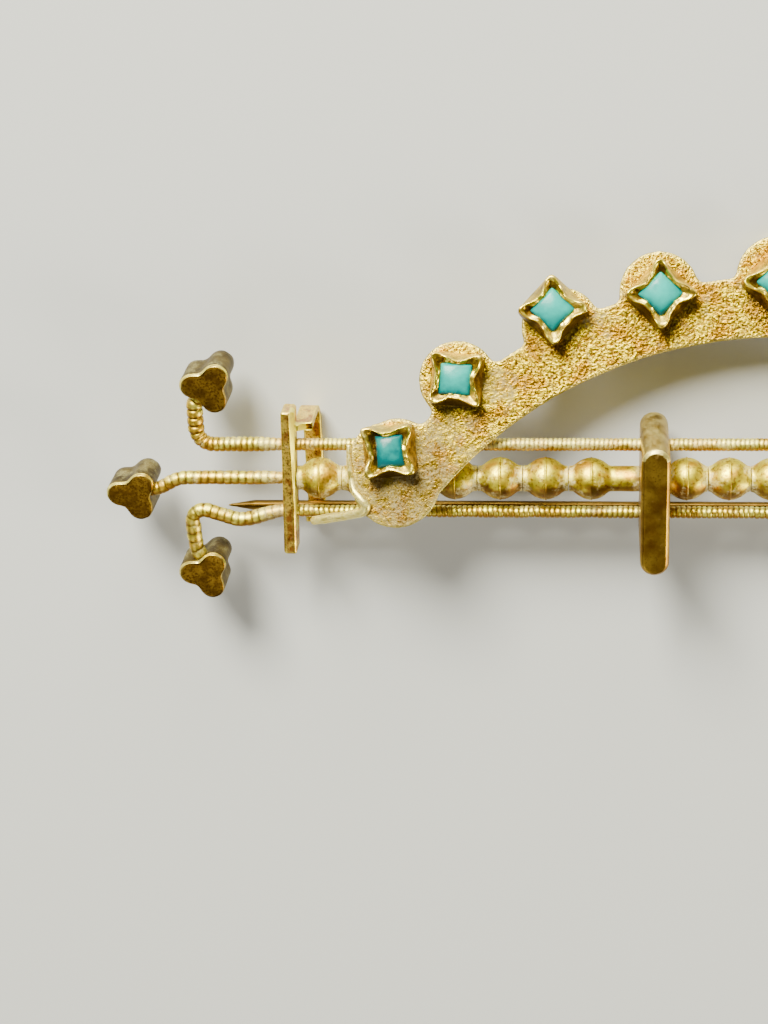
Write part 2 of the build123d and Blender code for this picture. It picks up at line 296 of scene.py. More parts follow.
def makeGold(name):
    look = {**everyGold, **golds[name]}
    material, tree, shader, place = newFinish(name)
    pale = fromMesh(tree, "pale")
    size, start, end = look["patch"]
    patches = softStep(speckle(place, size, seed=3.0, detail=3.0), start, end)
    colour = blend(patches, look["dark"], look["bright"])
    size, start, end, depth = look["grain"]
    grain = speckle(place, size, seed=7.0, detail=2.5, roughness=0.6)
    pits = maths("MAXIMUM", softStep(grain, start, end), times(pale, look["paleFill"]))
    colour = blend(pits, look["pits"], colour)
    # Painted shade in the grooves between the crests of the ribs.
    if "grooveShade" in look:
        colour = blend(fromMesh(tree, "crest"), look["grooveShade"], colour)
    # Painted shade: what faces down the picture, away from the lamps, and what the stain mask marks, is
    # darkened towards the painted shade colour.
    normal = addNode(tree, "ShaderNodeNewGeometry").outputs["Normal"]
    lower = vectors("DOT_PRODUCT", normal, look["shadeSide"])
    lower = plus(lower, speckle(place, look["shadeSize"], seed=9.0))
    lower = softStep(lower, look["shadeFrom"], look["shadeFrom"] + look["shadeSoft"])
    paintedShade, share = look["paintedShade"]
    colour = blend(maths("MAXIMUM", times(lower, share), fromMesh(tree, "stain")), colour, paintedShade)
    # Worn edges are lightened towards the edge colour, and so is what the bright mask marks: a painted
    # highlight on the trefoils, collets, end plates and bands, and the hook's own pale colour.
    edge, share = look["edge"]
    worn = times(fromMesh(tree, "edge"), share, clamp=True)
    colour = blend(maths("MAXIMUM", worn, fromMesh(tree, "bright")), colour, edge)
    upward = vectors("DOT_PRODUCT", normal, (0, look["dustRise"], 0))
    size, start, end, share = look["fine"]
    fine = timesPlus(softStep(speckle(place, size, seed=15.0), start, end), share, 1 - share)
    size, start, end, share = look["dusty"]
    dust = plus(speckle(place, size, seed=11.0, detail=4.0, roughness=0.6), upward)
    dust = softStep(timesPlus(pale, look["paleDust"], dust), start, end)
    dust = times(times(dust, fine), share)
    feed(shader.inputs["Base Color"], blend(dust, colour, look["dust"]))
    feed(shader.inputs["Metallic"], timesPlus(dust, -look["dustDull"], look["metal"]))
    low, high = look["rough"]
    rough = timesPlus(speckle(place, look["roughSize"], seed=5.0), high - low, low)
    rough = plus(rough, times(dust, look["dustRough"]), clamp=True)
    feed(shader.inputs["Roughness"], rough)
    clear = timesPlus(pale, -look["paleFill"], 1.0, clamp=True)
    addBump(shader, grain, depth, clear)
    return material


turquoiseLook = {
    "pale": (0.0, 0.47, 0.445), "deep": (0.0, 0.09, 0.115), "cloud": (0.55, 0.3, 0.7, 0.35),
    "rough": 0.28, "shine": 0.32, "bump": 0.006,
}


def makeTurquoise():
    look = turquoiseLook
    material, tree, shader, place = newFinish("turquoise")
    size, start, end, share = look["cloud"]
    clouds = softStep(speckle(place, size, seed=2.0, detail=4.0, roughness=0.6), start, end)
    # the tone mask carries each stone's own tone with painted shade and highlight
    tone = minus(timesPlus(clouds, share, 1 - share), fromMesh(tree, "tone"), clamp=True)
    feed(shader.inputs["Base Color"], blend(tone, look["deep"], look["pale"]))
    shader.inputs["Roughness"].default_value = look["rough"]
    shader.inputs["Specular IOR Level"].default_value = look["shine"]
    addBump(shader, clouds, look["bump"], 1.0)
    return material


finishes = {name: makeGold(name) for name in golds}
finishes["turquoise"] = makeTurquoise()
print("finishes made")


# Mesh helpers

def meshObject(name, points, faces, materials, faceFinish=None):
    mesh = bpy.data.meshes.new(name)
    mesh.from_pydata([tuple(p) for p in points], [], faces)
    for finish in materials:
        mesh.materials.append(finishes[finish])
    if faceFinish:
        mesh.polygons.foreach_set("material_index", faceFinish)
    mesh.polygons.foreach_set("use_smooth", [True] * len(faces))
    work = bmesh.new()
    work.from_mesh(mesh)
    bmesh.ops.remove_doubles(work, verts=work.verts, dist=1e-5)
    bmesh.ops.recalc_face_normals(work, faces=work.faces)
    work.to_mesh(mesh)
    work.free()
    mesh.update()
    return newObject(name, mesh)


def wobbleAt(point, size, seed):  # -1 to 1, smooth over the given size
    return noise.noise(Vector(point) / size + Vector((seed * 7.3, seed * 3.1, seed * 5.7)))


def store(mesh, **numbers):  # a number for each point, or one for all
    for name, values in numbers.items():
        if isinstance(values, float):
            values = [values] * len(mesh.vertices)
        layer = mesh.attributes.get(name) or mesh.attributes.new(name, "FLOAT", "POINT")
        layer.data.foreach_set("value", values)


def meshArray(items, name, width, kind=float):
    values = np.empty(len(items) * width, dtype=kind)
    items.foreach_get(name, values)
    return values.reshape(-1, width)


def storeEdges(mesh, reach, passes, start=0.0):  # how far each point stands out from its surroundings
    count = len(mesh.vertices)
    places = meshArray(mesh.vertices, "co", 3)
    normals = meshArray(mesh.vertices, "normal", 3)
    pairs = meshArray(mesh.edges, "vertices", 2, int)
    ends, others = pairs.T.ravel(), pairs[:, ::-1].T.ravel()
    valence = np.maximum(np.bincount(ends, minlength=count), 1)
    smoothed = places
    for _ in range(passes):
        sums = [np.bincount(ends, weights=smoothed[others, axis], minlength=count) for axis in range(3)]
        smoothed = np.stack([total / valence for total in sums], axis=1)
    rise = (((places - smoothed) * normals).sum(axis=1) - start) / reach
    store(mesh, edge=np.clip(rise, 0, 1).astype("f"))


def joinObjects(name, objects):
    chosen = {"active_object": objects[0], "selected_objects": objects, "selected_editable_objects": objects}
    with bpy.context.temp_override(**chosen):
        bpy.ops.object.join()
    objects[0].name = name
    return objects[0]


def putInPlace(piece, nodes):
    piece.data.transform(toFrame)
    piece.data.update()
    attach(piece, "root")
    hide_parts(*nodes)


def ringFaces(count, rings):  # faces between rings of points, with a cap on each end
    faces = []
    for low in range(0, (rings - 1) * count, count):
        high = low + count
        for step in range(count):
            after = (step + 1) % count
            faces.append((low + step, low + after, high + after, high + step))
    faces.append(tuple(reversed(range(count))))
    faces.append(tuple(range((rings - 1) * count, rings * count)))
    return faces


def settle(made, modifier):  # the modifier's result takes the place of the mesh
    graph = bpy.context.evaluated_depsgraph_get()
    mesh = bpy.data.meshes.new_from_object(made.evaluated_get(graph))
    made.modifiers.remove(modifier)
    old = made.data
    made.data = mesh
    bpy.data.meshes.remove(old)


def solidCopy(node, turn, near):  # a working mesh of a node's solid, with its points joined
    work = bmesh.new()
    work.from_mesh(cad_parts[node].data)
    work.transform(turn)
    bmesh.ops.remove_doubles(work, verts=work.verts, dist=near)
    return work


def workObject(name, work):
    mesh = bpy.data.meshes.new(name)
    work.to_mesh(mesh)
    work.free()
    return newObject(name, mesh)


def remesh(made, voxel):
    modifier = made.modifiers.new("remesh", "REMESH")
    modifier.mode = "VOXEL"
    modifier.voxel_size = voxel
    modifier.use_smooth_shade = True
    settle(made, modifier)
    made.data.polygons.foreach_set("use_smooth", [True] * len(made.data.polygons))


def dentSurface(mesh, layers):  # layers of depth, size and seed
    normals = [v.normal.copy() for v in mesh.vertices]
    for vertex, normal in zip(mesh.vertices, normals):
        pushes = [depth * (wobbleAt(vertex.co, size, seed) - 1) / 2 for depth, size, seed in layers]
        vertex.co += normal * sum(pushes)
    mesh.update()


def setFinish(made, finish):
    made.data.materials.clear()
    made.data.materials.append(finishes[finish])


# Round tubes along a line of points, shaped by a node tree

def readNumber(tree, name, kind="FLOAT"):
    return addNode(tree, "GeometryNodeInputNamedAttribute", {"Name": name}, data_type=kind).outputs[0]


def keepNumber(geometry, name, value, kind="FLOAT"):
    inputs = {"Geometry": geometry, "Name": name, "Value": value}
    settings = {"data_type": kind, "domain": "POINT"}
    return addNode(geometry.id_data, "GeometryNodeStoreNamedAttribute", inputs, **settings).outputs[0]


def startTube(name, lengths, counts):  # the labels of its settings
    tree = bpy.data.node_groups.new(name, "GeometryNodeTree")
    face = tree.interface
    face.new_socket("Geometry", in_out="OUTPUT", socket_type="NodeSocketGeometry")
    rows = {"Geometry": ["Geometry"], "Float": lengths, "Int": counts, "Material": ["Finish"]}
    for kind, labels in rows.items():
        for label in labels:
            face.new_socket(label, in_out="INPUT", socket_type="NodeSocket" + kind)
    enter = tree.nodes.new("NodeGroupInput").outputs
    curve = addNode(tree, "GeometryNodeMeshToCurve", {"Mesh": enter["Geometry"]}).outputs[0]
    position = tree.nodes.new("GeometryNodeInputPosition").outputs[0]
    curve = keepNumber(curve, "spine", position, "FLOAT_VECTOR")
    circle = addNode(tree, "GeometryNodeCurvePrimitiveCircle", {"Resolution": enter["Sides"], "Radius": 1.0})
    inputs = {"Curve": curve, "Profile Curve": circle.outputs[0], "Fill Caps": True}
    tube = addNode(tree, "GeometryNodeCurveToMesh", inputs).outputs[0]
    spine = readNumber(tree, "spine", "FLOAT_VECTOR")
    return tree, enter, tube, spine, vectors("SUBTRACT", position, spine)


def endTube(enter, tube, outward, radius, spine, marks):
    tree = tube.id_data
    place = vectors("MULTIPLY_ADD", outward, radius, spine)
    made = addNode(tree, "GeometryNodeSetPosition", {"Geometry": tube, "Position": place}).outputs[0]
    for name, value in marks.items():
        made = keepNumber(made, name, value)
    for kind in ("SetShadeSmooth", "RealizeInstances", "SetMaterial"):
        inputs = {"Geometry": made}
        if kind == "SetMaterial":
            inputs["Material"] = enter["Finish"]
        made = addNode(tree, "GeometryNode" + kind, inputs).outputs[0]
    tree.links.new(made, tree.nodes.new("NodeGroupOutput").inputs[0])
    return tree


def tubeDents(enter, surface, seed, middle):
    dents = speckle(surface, 1.0, seed)
    feed(dents.node.inputs["Scale"], maths("DIVIDE", 1.0, enter["Dent size"]))
    return times(minus(dents, middle), enter["Dents"])


def tubeObject(name, points, numbers, tree, values):
    mesh = bpy.data.meshes.new(name)
    mesh.from_pydata(points, [(i, i + 1) for i in range(len(points) - 1)], [])
    store(mesh, **numbers)
    made = newObject(name, mesh)
    modifier = made.modifiers.new(tree.name, "NODES")
    modifier.node_group = tree
    for item in tree.interface.items_tree:
        if item.in_out == "INPUT" and item.name in values:
            modifier[item.identifier] = values[item.name]
    settle(made, modifier)
    return made


# Wires with trefoil ends

# Bends are points of the left-hand ends from the trefoil's middle inwards, with the radius of each bend.
# Zones are the stretch between the plates, the one outside them and the stub that turns towards the trefoil:
# the pitch and depth of the ribs, how much the wire swells and how dusty it is.
wireRows = [
    {
        "node": "upper_wire", "line": 1.77, "radius": 0.31, "dent": 0.05,
        "bends": [(-26.749, 4.90, 0), (-27.55, 3.867, 0.4895), (-27.55, 1.77, 0.801)],
        "zones": [(0.22, 0.17, 0, 0.5), (0.28, 0.19, 0.06, 0), (0.42, 0.32, 0.1, 0)],
    },
    {
        "node": "lower_wire", "line": -1.77, "radius": 0.31, "dent": 0.12,
        "bends": [(-27.5945, -5.05, 0), (-28.049, -3.7708, 0.606), (-28.15, -1.5076, 0.606),
                  (-25.625, -2.3276, 1.616), (-23.807, -1.77, 1.414)],
        "zones": [(0.25, 0.24, 0, 0), (0.36, 0.08, 0.06, 0), (0.46, 0.09, 0.08, 0)],
    },
    {
        "node": "core_wire", "line": 0, "radius": 0.29, "dent": 0.07,
        "bends": [(-30.85, -0.75, 0), (-29.64875, -0.5775, 1.20125), (-28.6025, 0, 2.015)],
        "zones": [(0.5, 0.1, 0, 0), (0.37, 0.12, 0.06, 0), (0.37, 0.1, 0.06, 0)],
    },
]
wireLook = {
    "sides": 16, "steps": 8,  # points around the wire and along each rib
    "wander": 0.3, "wanderSize": 0.6, "crestPower": 3.2, "dentSize": 0.6,
    "plate": 23.1,  # how far out the end plates stand
    "stubStart": 0.75,  # how far off its own line a wire counts as the stub towards its trefoil
    "swellStart": 0.3,  # how far beyond the plate the wire begins to swell
    "dustEnd": 25.1, "dustFade": 1.2,  # the wires are dusty from the plate to here
}


def roundedRoute(points, step=0.01):
    route = [Vector(points[0][:2])]
    for before, corner, after in zip(points, points[1:], points[2:]):
        place, radius = Vector(corner[:2]), corner[2]
        toBefore = (Vector(before[:2]) - place).normalized()
        toAfter = (Vector(after[:2]) - place).normalized()
        half = toBefore.angle(toAfter) / 2
        reach = radius / tan(half)
        centre = place + (toBefore + toAfter).normalized() * (radius / sin(half))
        start, end = place + toBefore * reach - centre, place + toAfter * reach - centre
        sweep = start.angle_signed(end)
        count = max(4, int(abs(sweep) * radius / step))
        for index in range(count + 1):
            turn = -sweep * index / count
            route.append(centre + Matrix.Rotation(turn, 2) @ start)
    route.append(Vector(points[-1][:2]))
    dense = []
    for start, end in zip(route, route[1:]):
        count = max(1, int((end - start).length / step))
        dense += [start.lerp(end, index / count) for index in range(count)]
    return dense + [route[-1]]


def ribbedLine(row):
    look = wireLook
    left = roundedRoute(row["bends"] + [(0, row["line"], 0)])
    left.reverse()  # from the middle of the bar outwards
    points, turns, depths, swells, pales, owed = [], [], [], [], [], 1.0
    for start, end in zip(left, left[1:]):
        zone = 0 if end.x > -look["plate"] else 1
        if abs(end.y - row["line"]) > look["stubStart"]:
            zone = 2
        pitch, depth, swell, pale = row["zones"][zone]
        owed += (end - start).length / pitch * look["steps"]
        if owed < 1:
            continue
        owed -= 1
        points.append((end.x, end.y, 0))
        turns.append(len(turns) / look["steps"])
        depths.append(depth)
        away = clamped(-end.x - look["plate"] - look["swellStart"])
        swells.append(swell * away)
        pales.append(clamped((look["dustEnd"] + end.x) / look["dustFade"]) if away else pale)
    points = [(-x, y, z) for x, y, z in reversed(points[1:])] + points
    turns = [-t for t in reversed(turns[1:])] + turns
    numbers = {"ribDepth": depths, "swell": swells, "pale": pales}
    numbers = {name: values[:0:-1] + values for name, values in numbers.items()}
    return points, {"ribTurn": turns, **numbers}


def wireTree():
    lengths = ["Radius", "Wander", "Dents", "Dent size"]
    tree, enter, tube, spine, outward = startTube("ribbedWire", lengths, ["Sides", "Seed"])
    surface = vectors("MULTIPLY_ADD", outward, enter["Radius"], spine)
    wander = minus(speckle(surface, wireLook["wanderSize"], enter["Seed"]), 0.5)
    turns = timesPlus(wander, enter["Wander"], readNumber(tree, "ribTurn"))
    across = timesPlus(maths("FRACT", turns), 2.0, -1.0)  # -1 to 1 over each rib
    crest = minus(1.0, maths("POWER", maths("ABSOLUTE", across), wireLook["crestPower"]))
    hollow = minus(1.0, maths("SQRT", crest))
    hollow = times(hollow, readNumber(tree, "ribDepth"))
    thick = plus(enter["Radius"], readNumber(tree, "swell"))
    radius = times(thick, minus(1.0, hollow))
    radius = plus(radius, tubeDents(enter, surface, 4.0, 0.6))
    return endTube(enter, tube, outward, radius, spine, {"crest": crest})


trefoil = {
    "lobe": 0.6, "offset": 0.77, "web": 0.7, "blend": 0.16, "turn": 173, "widest": 1.36, "steps": 120,
    "front": 0.595, "back": 1.395, "bevel": 0.095, "backBevel": 0.05, "ringGap": 0.31,
    "dish": 0.03, "hollow": 0.012, "hollowSize": 0.45, "dent": 0.02, "dentSize": 0.5,
    "discRings": [0.86, 0.7, 0.5, 0.3, 0.12],
    "worn": 120, "stain": 0.8,  # the rim is widest at the upper left, where the bevel gets a painted highlight, and the bevel's lower right gets painted shade
}


def trefoilOutline():
    look = trefoil
    turns = [radians(look["turn"] + 120 * k) for k in range(3)]
    lobes = [Vector((cos(turn), sin(turn))) * look["offset"] for turn in turns]

    def depthAt(point):
        gaps = [(point - lobe).length - look["lobe"] for lobe in lobes] + [point.length - look["web"]]
        return -look["blend"] * log(sum(exp(-gap / look["blend"]) for gap in gaps))

    outline = []
    for step in range(look["steps"]):
        turn = 2 * pi * step / look["steps"]
        ray = Vector((cos(turn), sin(turn)))
        low, high = 0.3, 1.8
        for _ in range(24):
            middle = (low + high) / 2
            low, high = (middle, high) if depthAt(ray * middle) < 0 else (low, middle)
        outline.append(ray * min(low, look["widest"]))
    return outline


def wornAndLitShare(spot):
    return cos(atan2(spot.y, spot.x) - radians(trefoil["worn"]))


def trefoilKnob(x, y, side, seed):
    look = trefoil
    outline = trefoilOutline()
    count = len(outline)
    top, bevel, base = look["front"], look["bevel"], look["backBevel"] - look["back"]
    rings = [(-look["back"], look["backBevel"])] + [(base + k * look["ringGap"], 0.0) for k in range(6)]
    rings += [(top - bevel - 0.02, 0.0), (top - bevel * 0.9, 0.008), (top - 0.01, bevel), (top, bevel + 0.02)]
    points = []
    for z, inset in rings:
        for spot in outline:
            place = spot * (1 - inset * (0.6 + 0.6 * max(0, wornAndLitShare(spot))) / spot.length)
            point = Vector((place.x, place.y, z))
            if z < top - 0.005:
                dent = look["dent"] * wobbleAt(point, look["dentSize"], seed) - look["dent"]
                point += Vector((place.x, place.y, 0)).normalized() * dent
            points.append(point)
    for share in look["discRings"]:
        for spot in outline:
            place = spot * share
            wobble = look["hollow"] * wobbleAt((place.x, place.y, 0), look["hollowSize"], seed)
            z = top - look["dish"] * (1 - share) + wobble - look["hollow"]
            points.append(Vector((place.x, place.y, z)))
    faces = ringFaces(count, len(rings) + len(look["discRings"]))
    bevelStart, topStart, topEnd = [(len(rings) - back) * count for back in (3, 1, 0)]
    finish = [1 if min(face) >= topStart else 2 if min(face) >= bevelStart else 0 for face in faces]
    finish[-2:] = [0, 1]
    # The bevel's painted highlight faces the upper left and its painted shade the lower right.
    facing = [wornAndLitShare(p) if bevelStart <= i < topEnd else 0 for i, p in enumerate(points)]
    points = [Vector((side * p.x + x, p.y + y, p.z)) for p in points]
    made = meshObject("knob", points, faces, ["dullAndShadedGold", "stainedGold", "burnishedGold"], finish)
    stain = [max(0, -share) * look["stain"] for share in facing]
    store(made.data, bright=[max(0, share) for share in facing], stain=stain, crest=1.0)
    return made


ribTree = wireTree()
for index, row in enumerate(wireRows):
    name = row["node"] + "_ribbed"
    wire = tubeObject(name, *ribbedLine(row), ribTree, {
        "Radius": row["radius"], "Sides": wireLook["sides"], "Wander": wireLook["wander"],
        "Dents": row["dent"], "Dent size": wireLook["dentSize"], "Seed": index,
        "Finish": finishes["ribbedGold"]})
    store(wire.data, edge=0.0)
    endX, endY, _ = row["bends"][0]
    knobs = [trefoilKnob(side * -endX, endY, -side, index * 2 + side) for side in (-1, 1)]
    putInPlace(joinObjects(name, [wire] + knobs), [row["node"]])
print("wires and trefoils made")


# Threaded beads

beadLook = {
    "radius": 1.02, "collar": 0.62, "neck": 0.08, "seam": 0.035, "seamHalf": 0.035, "widest": 1.05,
    "sides": 40, "ballSteps": 28, "seamSteps": (-1.6, -1, -0.5, 0, 0.5, 1, 1.6), "collarSteps": 4,
    "endStep": 0.012, "endRound": 0.05, "spare": 0.02, "dents": 0.05, "dentSize": 0.55,
    "edgeReach": 0.015, "edgeStart": 0.024, "dustReach": 0.4,
    "scratched": (1, 19), "scratch": 0.1, "scratchGrain": (14, 1.2, 1.2),  # the beads beside the end plates
}
beadRow = {
    "plateFace": 22.7337, "outerFace": 6.24, "innerFace": 4.86, "bandCollar": 1.25, "plateCollar": 0.08,
    "innerSeat": 0.85, "side": 7, "middle": 5, "gap": 0.03, "radius": 1.04,
}


def beadStretches():  # the middle and both ends of each bead with its collars, from left to right
    outer, band, inner = beadRow["plateFace"], beadRow["outerFace"], beadRow["innerFace"]
    first = outer - beadRow["plateCollar"] - beadRow["radius"]
    last = band + beadRow["bandCollar"] + beadRow["radius"]
    pitch = (first - last) / (beadRow["side"] - 1)
    left = [-first + pitch * count for count in range(beadRow["side"])]
    right = [-x for x in reversed(left)]
    edge = inner - beadRow["innerSeat"]
    middle = [edge * (2 * count / (beadRow["middle"] - 1) - 1) for count in range(beadRow["middle"])]
    rows = []
    for middles, low, high in ((left, -outer, -band), (middle, -inner, inner), (right, band, outer)):
        ends = [low] + [(a + b) / 2 for a, b in zip(middles, middles[1:])] + [high]
        for x, start, end in zip(middles, ends, ends[1:]):
            rows.append((x, start + beadRow["gap"] / 2, end - beadRow["gap"] / 2))
    return rows


def beadProfile(centre, low, high):
    look = beadLook
    reach = beadRow["radius"]
    steps, collarSteps = look["ballSteps"], look["collarSteps"]
    stations = [centre - reach * cos(pi * step / steps) for step in range(steps + 1)]
    stations += [centre + offset * look["seamHalf"] for offset in look["seamSteps"]]
    for step in range(collarSteps + 1):
        stations.append(low + step * (centre - reach - low) / collarSteps)
        stations.append(high - step * (high - centre - reach) / collarSteps)
    stations = sorted({round(x, 4) for x in stations})
    stations = [x for x in stations if low + look["spare"] < x < high - look["spare"]]
    stations = [low, low + look["endStep"]] + stations + [high - look["endStep"], high]
    rows = []
    for x in stations:
        away = abs(x - centre)
        ball = sqrt(max(0, look["radius"] ** 2 - away ** 2))
        neck = look["neck"]
        radius = neck * log(exp(ball / neck) + exp(look["collar"] / neck))
        radius += look["seam"] * exp(-(away / look["seamHalf"]) ** 2)
        if x in (low, high):
            radius -= look["endRound"]
        rows.append((x, min(radius, look["widest"])))
    return rows


def beadTree():
    lengths = ["Dents", "Dent size", "Scratches"]
    tree, enter, tube, spine, outward = startTube("threadedBead", lengths, ["Sides", "Seed"])
    girth = readNumber(tree, "girth")
    surface = vectors("MULTIPLY_ADD", outward, girth, spine)
    swell = tubeDents(enter, surface, enter["Seed"], 0.62)
    lines = speckle(vectors("MULTIPLY", surface, beadLook["scratchGrain"]), 1.0, enter["Seed"], detail=1.0)
    swell = timesPlus(minus(lines, 0.7), enter["Scratches"], swell)
    return endTube(enter, tube, outward, plus(girth, swell), spine, {})


threadedBead = beadTree()
for index, (centre, low, high) in enumerate(beadStretches(), start=1):
    rows = beadProfile(centre, low, high)
    points, girth = [(x, 0, 0) for x, _ in rows], [radius for _, radius in rows]
    bead = tubeObject(f"bead_{index:02d}_worn", points, {"girth": girth}, threadedBead, {
        "Sides": beadLook["sides"], "Dents": beadLook["dents"], "Dent size": beadLook["dentSize"],
        "Scratches": beadLook["scratch"] if index in beadLook["scratched"] else 0.0,
        "Seed": index * 3, "Finish": finishes["beadGold"]})
    storeEdges(bead.data, beadLook["edgeReach"], 2, beadLook["edgeStart"])
    ends = [min(v.co.x - low, high - v.co.x) for v in bead.data.vertices]
    store(bead.data, pale=[max(0, 1 - end / beadLook["dustReach"]) for end in ends])
    putInPlace(bead, [f"bead_{index:02d}"])
print("beads made")


# Arch: plate, collets, stones and the hooks at its feet

arch = {
    "seat": 1.1, "backDepth": 3.1, "rise": 6.62, "width": 2.9, "thickness": 0.5, "footX": 17.8, "footY": -0.2,
    "footCentre": 1.95, "topLobe": 1, "lobeDisc": 1.88,
}
colletRows = [  # share of the way to the foot, share of the width outwards, turn in degrees
    (0, 0.89, 45), (0.255, 0.93, 46), (0.483, 1.27, 47), (0.736, 1.155, -4), (0.95, 1.085, 5),
]
archTop = arch["rise"] + arch["width"] * arch["topLobe"] + arch["lobeDisc"]
lean = asin(arch["backDepth"] / hypot(archTop, arch["seat"]))
lean += atan(arch["seat"] / archTop)
plateFace = Vector((0, sin(lean), cos(lean)))
plateUp = Vector((0, cos(lean), -sin(lean)))
archFrame = Matrix((Vector((1, 0, 0)), plateUp, plateFace)).transposed().to_4x4()
archFrame.translation = plateFace * arch["seat"]
footHeight = arch["rise"] + arch["footCentre"] - arch["footY"]
footCircle = (arch["footX"] ** 2 + footHeight ** 2) / (2 * footHeight)
innerRadius = footCircle - arch["footCentre"]
archCentre = arch["rise"] - innerRadius


def onArch(share, out):  # a place on the plate, left of its middle
    turn = share * asin(arch["footX"] / footCircle)
    reach = innerRadius + out * arch["width"]
    return -reach * sin(turn), archCentre + reach * cos(turn)


left = [(*onArch(share, out), turn) for share, out, turn in colletRows]
colletPlaces = left[::-1] + [(-x, y, -turn) for x, y, turn in left[1:]]  # from left to right


plateWear = {
    "voxel": 0.085, "edgeReach": 0.05,
    "dents": [(0.03, 0.22, 1), (0.015, 0.11, 2), (0.04, 2.2, 3)],  # depth, size and seed
    "cloudSize": 0.8, "colletShadowShift": 0.75, "footShift": 0.6,
    # how far stains and dust reach, how ragged their rim is, the length over which they fade, their share
    # The collet stain is also a painted shadow below each collet, which the collet shift moves down.
    "colletStainAndShadow": (2.0, 0.5, 0.9, 0.4), "footStain": (3.4, 1, 2, 0.7), "footDust": (5.2, 1.2, 3, 0.85),
    "colletDust": (1.3, 0.7, 0.7),
    "dustBeside": (0.6, 1.6, 0.6, 0.4, 0, 0.4, 0.6, 1.6, 0.6),  # how much dust lies beside each collet
    "dustShift": (1.75, -0.5),  # from the collet's middle, towards the arch's own
}


def plateOutline():  # the back face of the solid's plate, laid flat
    work = solidCopy("arch", archFrame.inverted() @ fromFrame, 1e-3)
    work.normal_update()
    back = [f for f in work.faces if f.normal.z < -0.999 and abs(f.calc_center_median().z) < 0.02]
    bmesh.ops.delete(work, geom=list(set(work.faces) - set(back)), context="FACES")
    return work


def spreadAt(name, distance, cloud):
    reach, ragged, fade, share = plateWear[name]
    return clamped((reach + ragged * cloud - distance) / fade) * share


def wearAndShadePlate(mesh):
    look = plateWear
    shiftX, shiftY = look["dustShift"]
    spots = [(x + copysign(shiftX, -x), y + shiftY, much)
             for (x, y, _), much in zip(colletPlaces, look["dustBeside"])]
    reach, ragged, share = look["colletDust"]
    stain, pale = [], []
    for vertex in mesh.vertices:
        x, y, _ = vertex.co
        cloud = wobbleAt(vertex.co, look["cloudSize"], 12)
        # stain with a painted shadow, centred below each collet
        collet = min(Vector((x - cx, y + look["colletShadowShift"] - cy)).length for cx, cy, _ in colletPlaces)
        foot = Vector((abs(x) - arch["footX"] + look["footShift"], y - arch["footY"])).length
        stain.append(max(spreadAt("colletStainAndShadow", collet, cloud), spreadAt("footStain", foot, cloud)))
        beside = [much * (reach + ragged * cloud - Vector((x - cx, y - cy)).length) for cx, cy, much in spots]
        pale.append(max(spreadAt("footDust", foot, cloud), min(max(beside), 1) * share))
    store(mesh, stain=stain, pale=pale)


def makePlate():
    work = plateOutline()
    grown = bmesh.ops.extrude_face_region(work, geom=work.faces[:])
    moved = [part for part in grown["geom"] if isinstance(part, bmesh.types.BMVert)]
    bmesh.ops.translate(work, verts=moved, vec=(0, 0, arch["thickness"]))
    bmesh.ops.recalc_face_normals(work, faces=work.faces)
    plate = workObject("arch_plate", work)
    remesh(plate, plateWear["voxel"])
    storeEdges(plate.data, plateWear["edgeReach"], 3)
    dentSurface(plate.data, plateWear["dents"])
    wearAndShadePlate(plate.data)
    setFinish(plate, "bloomedGold")
    plate.data.transform(archFrame)
    return plate


colletLook = {
    "around": 128, "roundness": 10, "cornerSharp": 7, "highest": 1.22,
    "ragged": 0.07, "raggedSize": 0.3, "tornFrom": 0.9, "tornSink": 0.3,  # rims are torn, mostly downwards
    # The corner and lean shares paint shade in the pocket's corners and under the leaning walls; the wall,
    # inside and right shares paint highlights on the walls.
    "edgeReach": 0.05, "edgeStart": 0.02, "cornerShade": 0.6, "rubbedCorner": 0.4,
    "wallLight": 0.8, "insideLight": 0.7, "rightLight": 0.6,
    # the outer walls of the two end collets lean in from ring 7 on
    "lean": 0.28, "leanDrop": 0.14, "leanShade": 0.7, "leanFrom": 7, "leanOver": 4, "leanRubbed": 0.25,
}
# Rings of a collet from its foot to the pocket's floor: half width, height at the sides and at the corners,
# how far the corners are drawn out and the sides pulled in, and how ragged the ring is
colletRings = [
    (1.25, -0.05, -0.05, 0, 0, 0), (1.25, 0.05, 0.05, 0, 0, 0.1), (1.24, 0.3, 0.35, 0, 0.05, 0.4),
    (1.22, 0.58, 0.7, 0.01, 0.1, 0.7), (1.2, 0.82, 0.95, 0.03, 0.14, 1),
    (1.18, 0.97, 1.1, 0.045, 0.17, 1.1), (1.16, 1.08, 1.17, 0.05, 0.19, 1.2),
    (1.12, 1.17, 1.2, 0.05, 0.19, 1.2), (1.07, 1.2, 1.19, 0.04, 0.185, 1.2),
    (1.0, 1.14, 1.12, 0.02, 0.17, 1.1), (0.9, 1.1, 1.0, 0, 0.125, 1), (0.81, 1.14, 0.97, -0.02, 0.09, 1.1),
    (0.775, 1.1, 0.95, -0.03, 0.09, 1), (0.77, 1.0, 0.88, -0.03, 0.09, 0.6),
    (0.79, 0.8, 0.7, -0.02, 0.06, 0.3), (0.8, 0.6, 0.6, 0, 0.02, 0), (0.76, 0.36, 0.36, 0, 0, 0),
]
rimRings, lipRings, hollowRings = range(6, 9), range(9, 13), range(9, 14)


